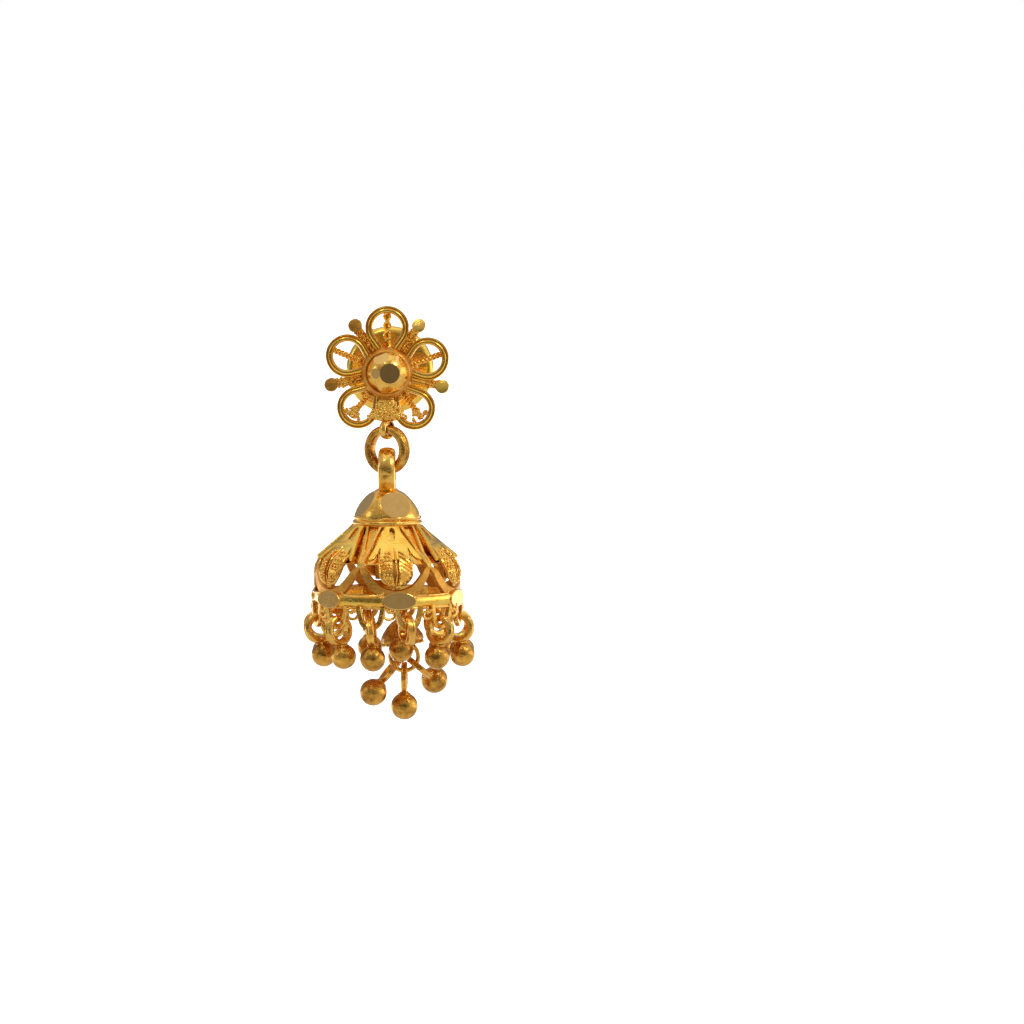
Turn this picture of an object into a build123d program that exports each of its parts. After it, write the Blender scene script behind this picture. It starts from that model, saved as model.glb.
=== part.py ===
from build123d import *
import os
from math import asin, cos, radians, sin, sqrt

os.makedirs("parts", exist_ok=True)

# A jhumka drop earring, millimetres. +Z is up, the flower faces -Y and its post runs back along +Y.
# The origin is on the post's axis, in the middle of the ear lobe.

# The lobe and what passes through it
LOBE_GAP = 4.4  # free space between the flower's back and the screw back
POST_RADIUS = 0.45
POST_LENGTH = 9.4
POST_END_CHAMFER = 0.15
BORE_CLEARANCE = 0.05  # radial, between the post and the screw back

# The flower: five wire petals round a domed boss, four pegs and a hanger between them
# One row for each petal: its direction in degrees anticlockwise from +X as seen from the front, how far its
# tip is from the post's axis, and the radius of its outer end
PETALS = (
    (90, 4.51, 1.47),
    (157, 4.38, 1.45),
    (230, 4.48, 1.42),
    (307, 4.47, 1.42),
    (19, 4.33, 1.45),
)
PETAL_POINT = 0.6  # where a petal's two legs would meet
PETAL_STRIP = 0.48  # thickness of the petal's strip
PETAL_DEPTH = 0.8
PETAL_SET_BACK = 0.1  # from the flower's back to the petals
RIB_WIDTH = 0.38
RIB_DEPTH = 0.4
CORE_RADIUS = 1.75
CORE_DEPTH = 1.0
BOSS_RADIUS = 1.59
BOSS_HEIGHT = 1.35
BOSS_FACET_RADIUS = 0.68
PEG_ANGLES = (56, 124, 192, 346)  # degrees, anticlockwise from +X as seen from the front
PEG_DISTANCE = 3.85
PEG_RADIUS = 0.45
PEG_DEPTH = 1.1
STEM_WIDTH = 0.5
STEM_DEPTH = 0.55
HANGER_STEM_WIDTH = 0.9

# The links below the flower
HANG_DEPTH = 0.75  # the plumb line of the drop, in front of the flower's back
LINK_TURN = 30  # degrees, the jump ring's turn about the plumb line
PIVOT_Z = -3.82
HANGER_HOLE = 0.49
HANGER_WALL = 0.2
HANGER_WIDTH = 0.5
RING_MEAN_RADIUS = 1.38
RING_THICK = 0.56
RING_WIDTH = 0.88
RING_EDGE = 0.17
BAIL_HOLE = 0.89
BAIL_THICK = 0.7
BAIL_WIDTH = 1.18
BAIL_EDGE = 0.33
BAIL_SAG = 0.04  # how far its middle hangs below the middle of the ring's wire

# The bell: outer profile of the cap, from the neck down to its rim
NECK_RADIUS = 0.64
CAP_TOP_Z = -7.86
CAP_MIDDLE = (1.72, -8.6)
CAP_FOOT = (2.25, -9.8)
CAP_RIM_RADIUS = 2.37
CAP_RIM_TOP_Z = -10.0
CAP_RIM_Z = -10.3
CAP_FACETS = 4
CAP_FACET_TURN = 22
CAP_FACET_TOP = Vector(0.98, -8.02)  # radius and height where a flat cut leaves the dome
CAP_FACET_FOOT = Vector(2.13, -9.62)
CAP_FACET_REACH = 1.4  # how far the cut may reach from its middle
# The cage below it, one row for each level: radius and height of the outer face
CAGE_LEVELS = (
    (2.15, -10.3),
    (2.8, -11.0),
    (3.65, -12.0),
    (4.45, -12.6),
    (4.8, -13.3),
    (4.8, -14.2),
    (4.75, -14.8),
)
WALL = 0.4
WALL_DROP = 0.13  # the inner face's levels sit this much lower
CAP_FLOOR = 0.8
BAND_RADIUS = 5.12
BAND_TOP_Z = -14.8
BAND_SHOULDER = 0.2  # the band's outer edge starts this much lower
BAND_Z = -15.65
BAND_THICK = 0.55

# The cage's openings, between its six leaves
LEAF_COUNT = 6
LEAF_TURN = 11  # degrees, the front leaf's turn about the plumb line
WINDOW_HALF_WIDTH = 1.5
WINDOW_APEX_Z = -13.4

# The dangles round the rim and the loops that carry them
DANGLE_START = 19  # degrees, the first one's turn about the plumb line
# One row for each dangle: how far it leans outward and sideways, and its twist, in degrees. The first
# has swung inward, in front of the cup.
DANGLES = (
    (-40, -3, -5),
    (-4, -5, -10),
    (8, -2, 5),
    (12, 4, -9),
    (8, -3, 10),
    (3, 5, -6),
    (-4, -5, 9),
    (7, 4, -10),
    (-13, -4, 8),
    (-10, 3, -5),
    (-10, 5, 7),
    (3, 4, -8),
)
DANGLE_COUNT = len(DANGLES)
LOOP_RADIAL = 4.9  # from the plumb line
LOOP_WIRE = 0.27
LOOP_INSIDE = 0.5  # radius of its round foot, inside
LOOP_TOP = 0.66  # half width of the space in the loop, at the band
LOOP_Z = -17.0  # its lowest point
LOOP_DEPTH = 0.3
DANGLE_MEAN_RADIUS = 0.825
DANGLE_THICK = 0.43
DANGLE_WIDTH = 0.6
DANGLE_EDGE = 0.14
DANGLE_BALL = 0.85
DANGLE_PLAY = 0.16
BALL_SINK = 0.1  # how far a ball is soldered into its ring

# The wire down the middle of the bell, its small cup and the lowest loop with three drops
CENTRE_TOP_Z = -9.2
CENTRE_LEAN = 6.5  # degrees, towards +X going down
CENTRE_WIRE = 0.3
CENTRE_LENGTH = 10.1  # from its top to the middle of the lowest loop
# The cup, one row for each level: radius and distance above the lowest loop's middle
CUP_LEVELS = (
    (0.3, 2.95),
    (0.5, 2.6),
    (1.3, 1.65),
    (1.5, 1.3),
    (1.38, 0.98),
    (0.95, 0.75),
    (0.3, 0.68),
)
LAST_LOOP_RADIUS = 0.95
LAST_LOOP_WIRE = 0.15
DROP_MEAN_RADIUS = 0.92
DROP_THICK = 0.38
DROP_WIDTH = 0.42
DROP_EDGE = 0.14
DROP_BALL = 0.92
DROP_PLAY = 0.1
# One row for each drop: its name, its place round the loop, its sideways lean and how far it comes forward
DROPS = (
    ("centre_drop_left", -52, -38, 25),
    ("centre_drop_middle", 0, 0, 0),
    ("centre_drop_right", 56, 46, -44),
)

# The screw back
NUT_RADIUS = 3.0
NUT_DISC = 1.2
NUT_FRONT_FILLET = 0.4
NUT_BACK_FILLET = 0.35
NUT_BARREL_RADIUS = 1.15
NUT_LENGTH = 3.0
NUT_EDGE = 0.2

BACK_Y = -LOBE_GAP / 2
HANG_Y = BACK_Y - HANG_DEPTH
RING_Z = PIVOT_Z - RING_MEAN_RADIUS
BAIL_Z = RING_Z - RING_MEAN_RADIUS - BAIL_SAG
PLUMB_LINE = Axis((0, HANG_Y, 0), (0, 0, 1))
LINK_X = Vector(cos(radians(LINK_TURN)), -sin(radians(LINK_TURN)), 0)  # along the jump ring's plane
LINK_Y = Vector(sin(radians(LINK_TURN)), cos(radians(LINK_TURN)), 0)  # the jump ring's own axis


def flower_plane(depth):
    """The flower seen from the front, this far in front of its back: local Z comes forward."""
    return Plane(origin=(0, BACK_Y - depth, 0), x_dir=(1, 0, 0), z_dir=(0, -1, 0))


def bell_plane(azimuth):
    """The bell seen from outside at this turn from the front: local Z points out from the plumb line."""
    turn = radians(azimuth)
    return Plane(
        origin=(0, HANG_Y, 0), x_dir=(cos(turn), sin(turn), 0), z_dir=(sin(turn), -cos(turn), 0)
    )


def teardrop(tip, roundness, point):
    """A petal's outline along +X: two straight legs from the point, tangent to the round end."""
    middle = tip - roundness
    reach = middle - point
    leg = sqrt(reach**2 - roundness**2)
    half_angle = asin(roundness / reach)
    shoulder = (point + leg * cos(half_angle), leg * sin(half_angle))
    with BuildSketch(mode=Mode.PRIVATE) as outline:
        with BuildLine():
            Line((point, 0), shoulder)
            ThreePointArc(shoulder, (tip, 0), (shoulder[0], -shoulder[1]))
            Line((shoulder[0], -shoulder[1]), (point, 0))
        make_face()
    return outline.sketch


def v_outline(half_top, foot_radius):
    """A V with a round foot, hanging from inside the band; every such outline has the same foot centre."""
    top_z = BAND_Z + LOOP_WIRE
    foot_z = LOOP_Z + LOOP_INSIDE + LOOP_WIRE
    with BuildSketch(mode=Mode.PRIVATE) as outline:
        with Locations((0, foot_z)):
            Circle(foot_radius)
        with Locations((0, top_z - LOOP_WIRE / 2)):
            Rectangle(2 * half_top, LOOP_WIRE)
        make_hull()
    return outline.sketch


def dangle(hook, down, normal, ring, ball_radius, play):
    """A ring hung on the wire surface at hook, with a ball soldered to its foot.

    ring holds the mean radius, thickness, width and edge radius; normal is along the ring's own axis.
    """
    mean_radius, thick, width, edge = ring
    centre = hook + down * (mean_radius - thick / 2 - play)
    ball_centre = centre + down * (mean_radius + thick / 2 + ball_radius - BALL_SINK)
    with BuildPart() as hung:
        with BuildSketch(Plane(origin=centre, x_dir=down, z_dir=down.cross(normal))):
            with Locations((mean_radius, 0)):
                RectangleRounded(thick, width, edge)
        revolve(axis=Axis(centre, normal))
        with Locations(ball_centre):
            Sphere(ball_radius)
    return hung.part


def write(part, name):
    """Labels a finished piece and writes it as parts/NAME.step."""
    part.label = name
    export_step(part, f"parts/{name}.step")


# The stud: petals, ribs, boss, pegs, hanger and post, soldered into one piece
with BuildPart() as flower_stud:
    with BuildSketch(flower_plane(PETAL_SET_BACK)):
        for angle, tip, roundness in PETALS:
            with PolarLocations(0, 1, start_angle=angle):
                add(teardrop(tip, roundness, PETAL_POINT))
        for angle, tip, roundness in PETALS:
            with PolarLocations(0, 1, start_angle=angle):
                add(
                    teardrop(tip - PETAL_STRIP, roundness - PETAL_STRIP, CORE_RADIUS - PETAL_STRIP),
                    mode=Mode.SUBTRACT,
                )
    extrude(amount=PETAL_DEPTH)
    with BuildSketch(flower_plane(PETAL_SET_BACK)):
        for angle, tip, _ in PETALS:
            with PolarLocations((tip - PETAL_STRIP / 2) / 2, 1, start_angle=angle):
                Rectangle(tip - PETAL_STRIP / 2, RIB_WIDTH)
    extrude(amount=RIB_DEPTH)
    with BuildSketch(flower_plane(PETAL_SET_BACK)):
        for angle in PEG_ANGLES:
            with PolarLocations(PEG_DISTANCE / 2, 1, start_angle=angle):
                Rectangle(PEG_DISTANCE, STEM_WIDTH)
    extrude(amount=STEM_DEPTH)
    with BuildSketch(flower_plane(PETAL_SET_BACK)):
        for angle in PEG_ANGLES:
            with PolarLocations(PEG_DISTANCE, 1, start_angle=angle):
                Circle(PEG_RADIUS)
    extrude(amount=PEG_DEPTH)
    with BuildSketch(flower_plane(0)):
        Circle(CORE_RADIUS)
    extrude(amount=CORE_DEPTH)
    # The boss is a spherical cap, cut flat in front.
    ball_radius = (BOSS_RADIUS**2 + BOSS_HEIGHT**2) / (2 * BOSS_HEIGHT)
    ball_depth = CORE_DEPTH + BOSS_HEIGHT - ball_radius
    with BuildSketch(Plane(origin=(0, BACK_Y, 0), x_dir=(0, -1, 0), z_dir=(-1, 0, 0))):
        with Locations((ball_depth, 0)):
            Circle(ball_radius)
        facet_depth = ball_depth + sqrt(ball_radius**2 - BOSS_FACET_RADIUS**2)
        with Locations((CORE_DEPTH / 2, 0)):
            Rectangle(
                facet_depth - CORE_DEPTH / 2,
                ball_radius,
                align=(Align.MIN, Align.MIN),
                mode=Mode.INTERSECT,
            )
    revolve(axis=Axis((0, BACK_Y, 0), (0, -1, 0)))
    # The stem at the bottom and the loop that the jump ring passes through
    with BuildSketch(flower_plane(PETAL_SET_BACK)):
        with Locations((0, PIVOT_Z + HANGER_HOLE)):
            Rectangle(
                HANGER_STEM_WIDTH,
                -PIVOT_Z - HANGER_HOLE - CORE_RADIUS / 2,
                align=(Align.CENTER, Align.MIN),
            )
    extrude(amount=PETAL_DEPTH)
    hanger_plane = Plane(origin=(0, HANG_Y, PIVOT_Z), x_dir=LINK_Y, z_dir=LINK_X)
    with BuildSketch(hanger_plane):
        Circle(HANGER_HOLE + HANGER_WALL)
    extrude(amount=HANGER_WIDTH / 2, both=True)
    with BuildSketch(hanger_plane):
        Circle(HANGER_HOLE)
    extrude(amount=HANGER_WIDTH * 2, both=True, mode=Mode.SUBTRACT)
    with BuildSketch(flower_plane(0)):
        Circle(POST_RADIUS)
    extrude(amount=-POST_LENGTH)
    chamfer(flower_stud.edges().sort_by(Axis.Y)[-1], POST_END_CHAMFER)
write(flower_stud.part, "flower_stud")

# The screw back: a rounded disc against the lobe, with a barrel that turns on the post's thread
with BuildPart() as screw_back:
    with BuildSketch(flower_plane(-LOBE_GAP)):
        Circle(NUT_RADIUS)
    extrude(amount=-NUT_DISC)
    fillet(screw_back.edges().filter_by(GeomType.CIRCLE).sort_by(Axis.Y)[-1], NUT_BACK_FILLET)
    fillet(screw_back.edges().filter_by(GeomType.CIRCLE).sort_by(Axis.Y)[0], NUT_FRONT_FILLET)
    with BuildSketch(flower_plane(-LOBE_GAP)):
        Circle(NUT_BARREL_RADIUS)
    extrude(amount=-NUT_LENGTH)
    chamfer(screw_back.edges().filter_by(GeomType.CIRCLE).sort_by(Axis.Y)[-1], NUT_EDGE)
    with BuildSketch(flower_plane(-LOBE_GAP)):
        Circle(POST_RADIUS + BORE_CLEARANCE)
    extrude(amount=-NUT_LENGTH, mode=Mode.SUBTRACT)
write(screw_back.part, "screw_back")

# The jump ring between the flower and the bell
ring_centre = Vector(0, HANG_Y, RING_Z)
with BuildPart() as jump_ring:
    with BuildSketch(Plane(origin=ring_centre, x_dir=(0, 0, 1), z_dir=LINK_X)):
        with Locations((RING_MEAN_RADIUS, 0)):
            RectangleRounded(RING_THICK, RING_WIDTH, RING_EDGE)
    revolve(axis=Axis(ring_centre, LINK_Y))
write(jump_ring.part, "jump_ring")

# The bell: bail, cap, six leaves, band, rim loops, middle wire, cup and lowest loop, soldered into one
bail_centre = Vector(0, HANG_Y, BAIL_Z)
centre_down = Vector(sin(radians(CENTRE_LEAN)), 0, -cos(radians(CENTRE_LEAN)))
centre_top = Vector(0, HANG_Y, CENTRE_TOP_Z)
last_loop = centre_top + centre_down * CENTRE_LENGTH
centre_axis = Axis(last_loop, centre_down * -1)
with BuildPart() as bell:
    # Cap and cage, turned as one hollow wall
    with BuildSketch(bell_plane(0)):
        with BuildLine():
            Line((0, CAP_TOP_Z), (NECK_RADIUS, CAP_TOP_Z))
            ThreePointArc((NECK_RADIUS, CAP_TOP_Z), CAP_MIDDLE, CAP_FOOT)
            Polyline(
                CAP_FOOT,
                (CAP_RIM_RADIUS, CAP_RIM_TOP_Z),
                (CAP_RIM_RADIUS, CAP_RIM_Z),
                CAGE_LEVELS[0],
                *CAGE_LEVELS[1:],
                (BAND_RADIUS, BAND_TOP_Z - BAND_SHOULDER),
                (BAND_RADIUS, BAND_Z),
                (BAND_RADIUS - BAND_THICK, BAND_Z),
                (CAGE_LEVELS[-1][0] - WALL, BAND_TOP_Z),
                *[(radius - WALL, height - WALL_DROP) for radius, height in reversed(CAGE_LEVELS[:-1])],
                (NECK_RADIUS, CAP_RIM_Z + CAP_FLOOR),
                (0, CAP_RIM_Z + CAP_FLOOR),
                (0, CAP_TOP_Z),
            )
        make_face()
    revolve(axis=PLUMB_LINE)
    # Flat cuts round the cap
    facet_middle = (CAP_FACET_TOP + CAP_FACET_FOOT) / 2
    facet_slope = (CAP_FACET_FOOT - CAP_FACET_TOP).normalized()
    for index in range(CAP_FACETS):
        turn = radians(CAP_FACET_TURN + index * 360 / CAP_FACETS)
        outward = Vector(sin(turn), -cos(turn), 0)
        facet_origin = Vector(0, HANG_Y, facet_middle.Y) + outward * facet_middle.X
        facet_normal = outward * -facet_slope.Y + Vector(0, 0, facet_slope.X)
        with BuildSketch(Plane(origin=facet_origin, z_dir=facet_normal)):
            Circle(CAP_FACET_REACH)
        extrude(amount=CAP_FACET_REACH, mode=Mode.SUBTRACT)
    # Openings between the leaves: a triangle above the band
    for index in range(LEAF_COUNT):
        with BuildSketch(bell_plane(LEAF_TURN + (index + 0.5) * 360 / LEAF_COUNT)):
            with BuildLine():
                Polyline(
                    (-WINDOW_HALF_WIDTH, BAND_TOP_Z),
                    (WINDOW_HALF_WIDTH, BAND_TOP_Z),
                    (0, WINDOW_APEX_Z),
                    close=True,
                )
            make_face()
        extrude(amount=BAND_RADIUS + WALL, mode=Mode.SUBTRACT)
    # The bail's ring stands on the neck.
    with BuildSketch(Plane(origin=bail_centre, x_dir=(0, 0, 1), z_dir=(0, 1, 0))):
        with Locations((BAIL_HOLE + BAIL_THICK / 2, 0)):
            RectangleRounded(BAIL_THICK, BAIL_WIDTH, BAIL_EDGE)
    revolve(axis=Axis(bail_centre, (1, 0, 0)))
    # Loops under the band
    for index in range(DANGLE_COUNT):
        azimuth = DANGLE_START + index * 360 / DANGLE_COUNT
        loop_plane = bell_plane(azimuth).offset(LOOP_RADIAL - LOOP_DEPTH / 2)
        with BuildSketch(loop_plane):
            add(v_outline(LOOP_TOP + LOOP_WIRE, LOOP_INSIDE + LOOP_WIRE))
            add(v_outline(LOOP_TOP, LOOP_INSIDE), mode=Mode.SUBTRACT)
        extrude(amount=LOOP_DEPTH)
    # The middle wire, its cup and the lowest loop
    with BuildSketch(Plane(origin=last_loop, x_dir=Vector(0, -1, 0).cross(centre_down), z_dir=(0, -1, 0))):
        with BuildLine():
            Polyline(
                (0, CENTRE_LENGTH),
                (CENTRE_WIRE, CENTRE_LENGTH),
                *CUP_LEVELS,
                (0, CUP_LEVELS[-1][1]),
                close=True,
            )
        make_face()
    revolve(axis=centre_axis)
    with BuildSketch(Plane(origin=last_loop, x_dir=centre_down, z_dir=centre_down.cross(Vector(0, 1, 0)))):
        with Locations((LAST_LOOP_RADIUS, 0)):
            Circle(LAST_LOOP_WIRE)
    revolve(axis=Axis(last_loop, (0, 1, 0)))
write(bell.part, "bell")

# The dangles round the rim
for index, (lean_out, lean_side, twist) in enumerate(DANGLES):
    turn = radians(DANGLE_START + index * 360 / DANGLE_COUNT)
    outward = Vector(sin(turn), -cos(turn), 0)
    tangent = Vector(cos(turn), sin(turn), 0)
    hook = Vector(0, HANG_Y, LOOP_Z + LOOP_WIRE) + outward * LOOP_RADIAL
    down = Vector(0, 0, -1).rotate(Axis((0, 0, 0), tangent), -lean_out)
    down = down.rotate(Axis((0, 0, 0), outward), lean_side)
    across = tangent.rotate(Axis((0, 0, 0), down), twist)
    normal = (across - down * across.dot(down)).normalized()
    ring = (DANGLE_MEAN_RADIUS, DANGLE_THICK, DANGLE_WIDTH, DANGLE_EDGE)
    write(dangle(hook, down, normal, ring, DANGLE_BALL, DANGLE_PLAY), f"rim_dangle_{index + 1:02d}")

# The three drops on the lowest loop
for name, place, lean, forward in DROPS:
    place, lean, forward = radians(place), radians(lean), radians(forward)
    out = Vector(sin(place), 0, -cos(place))
    hook = last_loop + out * (LAST_LOOP_RADIUS - LAST_LOOP_WIRE)
    down = Vector(sin(lean) * cos(forward), -sin(forward), -cos(lean) * cos(forward))
    along = Vector(cos(place), 0, sin(place))
    normal = (along - down * along.dot(down)).normalized()
    ring = (DROP_MEAN_RADIUS, DROP_THICK, DROP_WIDTH, DROP_EDGE)
    write(dangle(hook, down, normal, ring, DROP_BALL, DROP_PLAY), name)
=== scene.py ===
import random
from math import asin, atan2, cos, pi, radians, sin, sqrt

import bmesh
import bpy
from mathutils import Matrix, Vector


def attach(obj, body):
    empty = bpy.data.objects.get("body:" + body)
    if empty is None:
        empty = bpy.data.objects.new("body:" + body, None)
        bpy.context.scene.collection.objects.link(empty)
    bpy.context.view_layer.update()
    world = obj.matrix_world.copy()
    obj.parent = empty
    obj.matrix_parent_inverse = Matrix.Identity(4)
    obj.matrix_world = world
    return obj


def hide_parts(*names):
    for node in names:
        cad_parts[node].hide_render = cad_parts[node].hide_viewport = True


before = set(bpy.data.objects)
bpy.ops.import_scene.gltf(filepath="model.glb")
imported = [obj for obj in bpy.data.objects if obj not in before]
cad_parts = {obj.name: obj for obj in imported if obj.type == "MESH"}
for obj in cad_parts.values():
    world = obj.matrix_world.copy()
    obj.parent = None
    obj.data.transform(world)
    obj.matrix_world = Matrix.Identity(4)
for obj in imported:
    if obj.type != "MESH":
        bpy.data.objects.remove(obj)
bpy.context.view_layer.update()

# Shapes are made in millimetres and brought to metres when a piece is finished.
MM = 0.001
# Points nearer than this are one point.
MERGE = 0.0005
# Edges that turn by more than this are sharp, in degrees.
SHARP = 38
random.seed(7)

# -------------------------------- sizes

BACK_Y = -2.2  # the flower's back
HANG_Y = -2.95  # the plumb line of the drop

# Each petal: its direction, the middle of its round end and the end's outer radius
PETALS = ((90, 3.04, 1.47), (157, 2.93, 1.45), (230, 3.06, 1.42), (307, 3.05, 1.42), (19, 2.88, 1.45))
PETAL_HALF_STRIP = 0.24
PETAL_LEG_POINT = 0.935
PETAL_SET_BACK = 0.1

PIVOT_Z = -3.82
LINK_TURN = 30
RING_Z = -5.2
RING_RADIUS = 1.38
BAIL_Z = -6.62

# Outer face of the cage: radius and height
CAGE = ((2.15, -10.3), (2.8, -11.0), (3.65, -12.0), (4.45, -12.6), (4.8, -13.3), (4.8, -14.2), (4.75, -14.8))
LEAF_TURN = 11
LEAF_COUNT = 6
LEAF_STEP = 360 / LEAF_COUNT

DANGLE_START = 19
# Lean outward, lean sideways and twist of each rim dangle, in degrees
DANGLES = (
    (-40, -3, -5), (-4, -5, -10), (8, -2, 5), (12, 4, -9), (8, -3, 10), (3, 5, -6),
    (-4, -5, 9), (7, 4, -10), (-13, -4, 8), (-10, 3, -5), (-10, 5, 7), (3, 4, -8),
)
LOOP_RADIAL = 4.9
LOOP_Z = -17.0
LOOP_WIRE = 0.27
DANGLE_STEP = 360 / len(DANGLES)

CENTRE_LEAN = 6.5
CENTRE_TOP_Z = -9.2
CENTRE_LENGTH = 10.1
# Name, place round the lowest loop, sideways lean and how far it comes forward
DROPS = (
    ("centre_drop_left", -52, -38, 25),
    ("centre_drop_middle", 0, 0, 0),
    ("centre_drop_right", 56, 46, -44),
)

# -------------------------------- finishes


class Value:
    """A number or colour on its way through a finish; arithmetic on it adds Math nodes."""

    def __init__(self, finish, socket):
        self.finish = finish
        self.socket = socket

    def math(self, operation, other):
        return self.finish.node("Math", {"operation": operation}, {0: self, 1: other})

    def __add__(self, other):
        return self.math("ADD", other)

    __radd__ = __add__

    def __mul__(self, other):
        return self.math("MULTIPLY", other)

    __rmul__ = __mul__

    def __sub__(self, other):
        return self.math("SUBTRACT", other)

    def __rsub__(self, other):
        return self.finish.node("Math", {"operation": "SUBTRACT"}, {0: other, 1: self})


class Finish:
    """A tree of nodes for a metal finish or for the studio's surroundings."""

    def __init__(self, tree):
        self.tree = tree

    def node(self, kind, settings=None, values=None, output=0):
        node = self.tree.nodes.new("ShaderNode" + kind)
        for setting, value in (settings or {}).items():
            if setting == "stops":
                stops = node.color_ramp.elements
                for index, (place, shade) in enumerate(value):
                    stop = stops[index] if index < 2 else stops.new(place)
                    stop.position = place
                    stop.color = (shade, shade, shade, 1.0)
            else:
                setattr(node, setting, value)
        for socket, value in (values or {}).items():
            self.feed(node.inputs[socket], value)
        return Value(self, node.outputs[output])

    def feed(self, socket, value):
        if isinstance(value, Value):
            self.tree.links.new(value.socket, socket)
        else:
            socket.default_value = value

    def mix(self, factor, one, other):
        return self.node("Mix", {"data_type": "RGBA"}, {"Factor": factor, "A": one, "B": other}, "Result")

    def place(self):
        return self.node("TexCoord", None, None, "Object")

    def noise(self, vector, scale, detail=3.0, roughness=0.55):
        values = {"Vector": vector, "Scale": scale, "Detail": detail, "Roughness": roughness}
        return self.node("TexNoise", None, values, "Fac")

    def ramp(self, value, *stops):
        return self.node("ValToRGB", {"stops": stops}, {"Fac": value})


def gold(name, bright, deep, rough, rough_spread, grain, grain_size, scratches=0.0):
    """A gold finish: two tones mixed by soft clouds, uneven gloss, fine grain and drawn scratches.

    Roughness runs from rough up by rough_spread; the grain's size is in millimetres.
    """
    material = bpy.data.materials.new(name)
    material.use_nodes = True
    finish = Finish(material.node_tree)
    shader = material.node_tree.nodes["Principled BSDF"]
    place = finish.place()
    clouds = finish.noise(place, 900.0, 4.0, 0.6)
    rubbed = finish.noise(place, 3200.0, 3.0, 0.6)
    tone = finish.ramp(clouds * 0.6 + rubbed * 0.4, (0.32, 0.0), (0.62, 1.0))
    finish.feed(shader.inputs["Base Color"], finish.mix(tone, (*deep, 1.0), (*bright, 1.0)))
    shader.inputs["Metallic"].default_value = 1.0
    grains = finish.noise(place, 1 / (grain_size * MM), 4.0, 0.65)
    stretch = {"Vector": place, "Rotation": (0.6, 0.3, 0.9), "Scale": (1.0, 14.0, 9.0)}
    drawn = finish.node("Mapping", None, stretch)
    lines = finish.ramp(finish.noise(drawn, 1400.0, 2.0, 0.5), (0.56, 0.0), (0.7, 1.0))
    gloss = finish.ramp(rubbed, (0.3, 0.0), (0.75, 1.0)) * rough_spread + rough + lines * (scratches * 0.25)
    finish.feed(shader.inputs["Roughness"], gloss)
    height = grains * grain - lines * scratches
    bump = finish.node("Bump", None, {"Strength": 1.0, "Distance": 0.00001, "Height": height})
    finish.feed(shader.inputs["Normal"], bump)
    return material


# Name, bright and deep tones, then roughness, its spread, grain, grain size and scratches
FINISHES = (
    gold("polished_gold", (1.0, 0.62, 0.14), (0.8, 0.36, 0.05), 0.1, 0.16, 0.8, 0.5, 0.5),
    gold("facet_gold", (0.98, 0.6, 0.2), (0.9, 0.52, 0.14), 0.05, 0.06, 0.03, 1.0),
    gold("grained_gold", (1.0, 0.66, 0.15), (0.96, 0.45, 0.06), 0.1, 0.18, 2.4, 0.2),
    gold("bead_gold", (0.9, 0.47, 0.08), (0.27, 0.1, 0.014), 0.06, 0.16, 6.0, 0.34),
    gold("satin_gold", (0.8, 0.4, 0.07), (0.62, 0.26, 0.035), 0.3, 0.15, 1.0, 0.3, 0.8),
    gold("bright_gold", (1.0, 0.68, 0.13), (1.0, 0.49, 0.05), 0.09, 0.12, 0.9, 0.5, 0.3),
)
IS_POLISHED, IS_FACET, IS_GRAINED, IS_BEAD, IS_SATIN, IS_BRIGHT = range(len(FINISHES))

# -------------------------------- making shapes


def facing(origin, x_dir, z_dir):
    """A place with its own X and Z directions."""
    z = Vector(z_dir).normalized()
    x = Vector(x_dir)
    x = (x - z * x.dot(z)).normalized()
    place = Matrix((x, z.cross(x), z)).transposed().to_4x4()
    place.translation = Vector(origin)
    return place


def front(depth=0.0):
    """The flower seen from in front: X right, Y up, Z forward from its back."""
    return facing((0, BACK_Y - depth, 0), (1, 0, 0), (0, -1, 0))


def polar(radius, angle, height=0.0):
    return Vector((radius * cos(radians(angle)), radius * sin(radians(angle)), height))


def around(azimuth):
    """Outward and sideways directions at this turn round the plumb line, 0 in front."""
    turn = radians(azimuth)
    return Vector((sin(turn), -cos(turn), 0)), Vector((cos(turn), sin(turn), 0))


def standing(azimuth, radial, z=0.0, lean=0.0):
    """A place round the bell: X sideways, Y up and Z outward, leaning back by a slope."""
    outward, sideways = around(azimuth)
    return facing(Vector((0, HANG_Y, z)) + outward * radial, sideways, outward + Vector((0, 0, lean)))


def cage_radius(z):
    for (radius, height), (next_radius, next_height) in zip(CAGE, CAGE[1:]):
        if z >= next_height or (next_radius, next_height) == CAGE[-1]:
            return radius + (next_radius - radius) * (height - z) / (height - next_height)


def on_cage(azimuth, across, z, proud):
    """A point on the cage: so far round from this turn, at this height, standing proud of it."""
    radius = cage_radius(z)
    slope = (cage_radius(z - 0.1) - cage_radius(z + 0.1)) / 0.2
    out, up = 1 / sqrt(1 + slope**2), slope / sqrt(1 + slope**2)
    outward, _ = around(azimuth + across / radius * 180 / pi)
    return Vector((0, HANG_Y, z)) + outward * (radius + proud * out) + Vector((0, 0, proud * up))


def settle(shape):
    """Merges the points that meet and turns every face outward."""
    bmesh.ops.remove_doubles(shape, verts=shape.verts, dist=MERGE)
    bmesh.ops.recalc_face_normals(shape, faces=shape.faces)


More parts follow.
